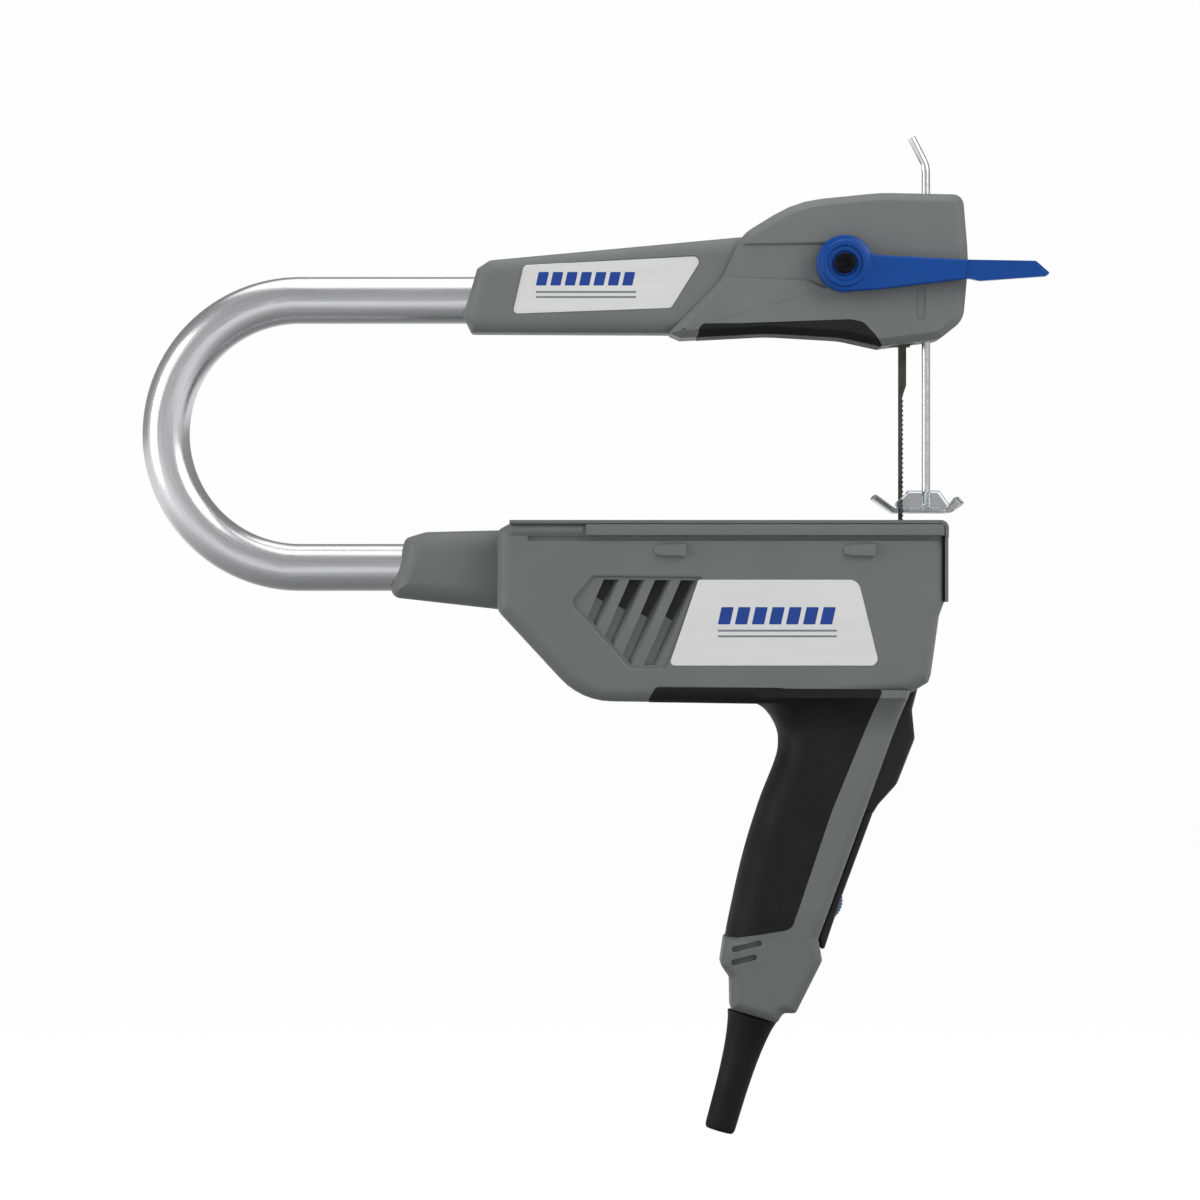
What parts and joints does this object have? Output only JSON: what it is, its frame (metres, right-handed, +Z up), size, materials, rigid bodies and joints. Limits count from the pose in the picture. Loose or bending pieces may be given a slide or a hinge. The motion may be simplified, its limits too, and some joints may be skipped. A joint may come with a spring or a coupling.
{
  "type": "coping saw",
  "caption": "Corded motor coping saw: U-shaped tube frame, pistol-grip motor housing under a small table, and a head with blade-tension lever and hold-down foot.",
  "frame": {"origin": "the blade's axis at the top face of the table", "axes": "+Z up along the blade, +X forward, away from the tube frame, so -Y is the tool's right-hand side with the tension lever"},
  "size_m": [0.3225, 0.058, 0.3572],
  "materials": {
    "shell_grey": "moulded, fine grain",
    "grip_black": "soft overmoulded rubber",
    "black_plastic": "moulded, satin",
    "label_silver": "silver foil label",
    "tube_steel": "satin",
    "table_steel": "satin",
    "screw_steel": "blackened",
    "core_steel": "laminated",
    "copper": "enamelled wire and copper bars",
    "brass": "plain",
    "carbon": "pressed carbon",
    "bright_steel": "bright",
    "alloy": "die-cast",
    "blade_steel": "hardened, oiled",
    "lever_blue": "moulded, satin",
    "clear_plastic": "clear moulding",
    "board_green": "circuit board",
    "dial_grey": "ridged"
  },
  "bodies": {
    "frame": {"motor_housing_right": "shell_grey", "motor_housing_left": "shell_grey", "grip_pad_right": "grip_black", "grip_pad_left": "grip_black", "table_plate": "table_steel", "badge_lower_right": "label_silver", "badge_lower_left": "label_silver", "housing_screws": "screw_steel", "front_strip": "black_plastic", "cord_boot": "grip_black", "cord_clamp": "shell_grey", "frame_tube": "tube_steel", "tube_screws": "screw_steel", "stator_core": "core_steel", "field_coils": "copper", "brush_holders": "brass", "carbon_brushes": "carbon", "rear_bearing": "bright_steel", "front_bearing": "bright_steel", "gear_bracket": "alloy", "gear_pin": "bright_steel", "guide_rods": "bright_steel", "switch_block": "black_plastic", "speed_board": "board_green", "paddle_pin": "screw_steel", "tension_guide_rod": "bright_steel", "arm_housing_right": "shell_grey", "arm_housing_left": "shell_grey", "arm_grip_pad": "grip_black", "badge_upper_right": "label_silver", "badge_upper_left": "label_silver", "arm_screws": "screw_steel", "upper_guide_block": "alloy", "foot_rod_guide": "black_plastic", "foot_friction_spring": "bright_steel"},
    "lever": {"tension_lever": "lever_blue", "cam_shaft": "bright_steel", "lever_screw": "screw_steel"},
    "tension": {"tension_carriage": "alloy", "tension_spring": "bright_steel", "lift_spring": "bright_steel"},
    "armature": {"armature_shaft": "bright_steel", "armature_core": "core_steel", "armature_windings": "copper", "commutator": "copper", "cooling_fan": "black_plastic", "pinion": "bright_steel"},
    "crank": {"crank_gear": "alloy", "crank_roller": "bright_steel"},
    "blade": {"yoke": "alloy", "lower_blade_holder": "blade_steel", "saw_blade": "blade_steel", "blade_pins": "bright_steel", "upper_blade_holder": "blade_steel", "upper_plunger": "bright_steel", "spring_collar": "brass"},
    "foot": {"foot_rod": "bright_steel", "material_foot": "clear_plastic"},
    "paddle": {"paddle": "black_plastic"},
    "dial": {"speed_dial": "dial_grey"}
  },
  "joints": [
    {"name": "lever_turn", "type": "hinge", "parent": "frame", "child": "lever", "pos_m": [-0.021, 0, 0.0907], "axis": [0, -1, 0], "range_deg": [0, 180]},
    {"name": "tension_slide", "type": "slide", "parent": "frame", "child": "tension", "axis": [0, 0, 1], "range_m": [0, 0.0031], "stiffness_N_per_m": 8, "springref_m": 0.016, "deforming": ["tension_spring", "lift_spring"]},
    {"name": "armature_spin", "type": "hinge", "parent": "frame", "child": "armature", "pos_m": [-0.08, 0, -0.026], "axis": [1, 0, 0], "continuous": true},
    {"name": "crank_spin", "type": "hinge", "parent": "frame", "child": "crank", "pos_m": [-0.02, 0, -0.04315], "axis": [1, 0, 0], "continuous": true},
    {"name": "blade_stroke", "type": "slide", "parent": "frame", "child": "blade", "axis": [0, 0, 1], "range_m": [-0.008, 0.008]},
    {"name": "foot_slide", "type": "slide", "parent": "frame", "child": "foot", "axis": [0, 0, 1], "range_m": [-0.002, 0.045]},
    {"name": "paddle_press", "type": "hinge", "parent": "frame", "child": "paddle", "pos_m": [0.0004, 0, -0.0636], "axis": [0, 1, 0], "range_deg": [0, 6], "stiffness_Nm_per_rad": 0.8, "springref_deg": -2.86},
    {"name": "dial_turn", "type": "hinge", "parent": "frame", "child": "dial", "pos_m": [-0.0288, 0, -0.1353], "axis": [0, 1, 0], "range_deg": [0, 270]}
  ],
  "couplings": [
    {"joint": "tension_slide", "follows": "lever_turn", "m_per_rad": 0.000954},
    {"joint": "crank_spin", "follows": "armature_spin", "ratio": -0.225}
  ]
}
